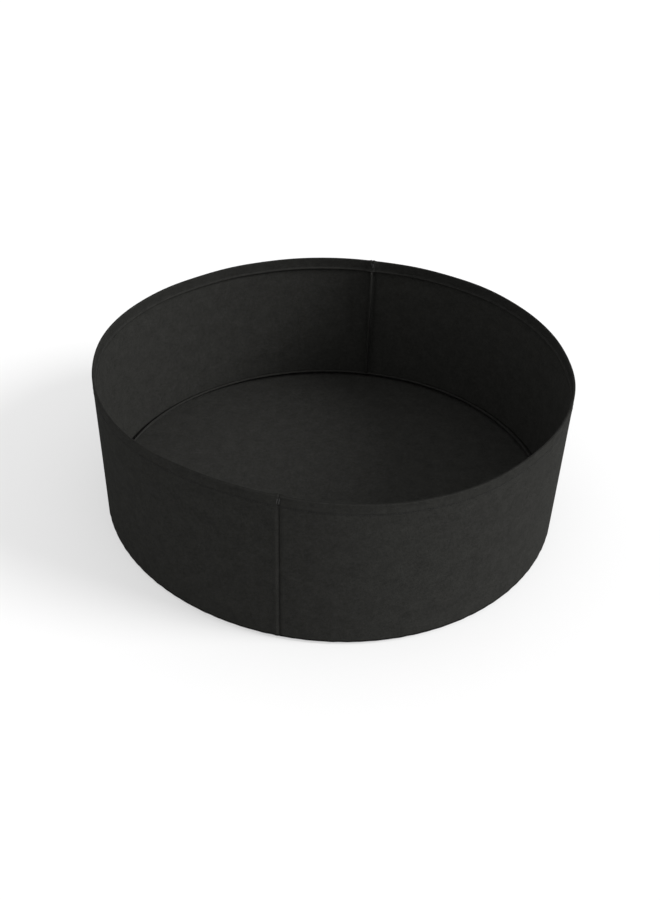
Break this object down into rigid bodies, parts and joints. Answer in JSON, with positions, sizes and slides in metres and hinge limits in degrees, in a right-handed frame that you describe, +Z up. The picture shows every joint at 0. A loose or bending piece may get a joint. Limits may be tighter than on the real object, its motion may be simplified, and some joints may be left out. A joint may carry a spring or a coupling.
{
  "type": "fabric grow bag",
  "caption": "Wide, low, round planter of dark felt, with a folded and stitched rim, upright seams front and back, and a sewn-in base.",
  "frame": {"origin": "centre of the bag's underside, where it stands on the ground", "axes": "+Z up out of the mouth, along the bag's own axis; -Y towards the front; the front seam stands 10 degrees from -Y towards -X and the back seam opposite it"},
  "size_m": [0.9008, 0.9008, 0.3],
  "materials": {
    "wall_felt": "matte black needle-punched felt",
    "base_felt": "matte black needle-punched felt",
    "sewing_thread": "black bonded polyester thread, slight sheen"
  },
  "bodies": {
    "root": {"left_wall_panel": "wall_felt", "right_wall_panel": "wall_felt", "base_panel": "base_felt", "hem_needle_thread": "sewing_thread", "hem_bobbin_thread": "sewing_thread", "front_seam_needle_thread": "sewing_thread", "front_seam_bobbin_thread": "sewing_thread", "back_seam_needle_thread": "sewing_thread", "back_seam_bobbin_thread": "sewing_thread", "base_seam_needle_thread": "sewing_thread", "base_seam_bobbin_thread": "sewing_thread", "front_rim_bartack": "sewing_thread", "back_rim_bartack": "sewing_thread"}
  },
  "joints": []
}
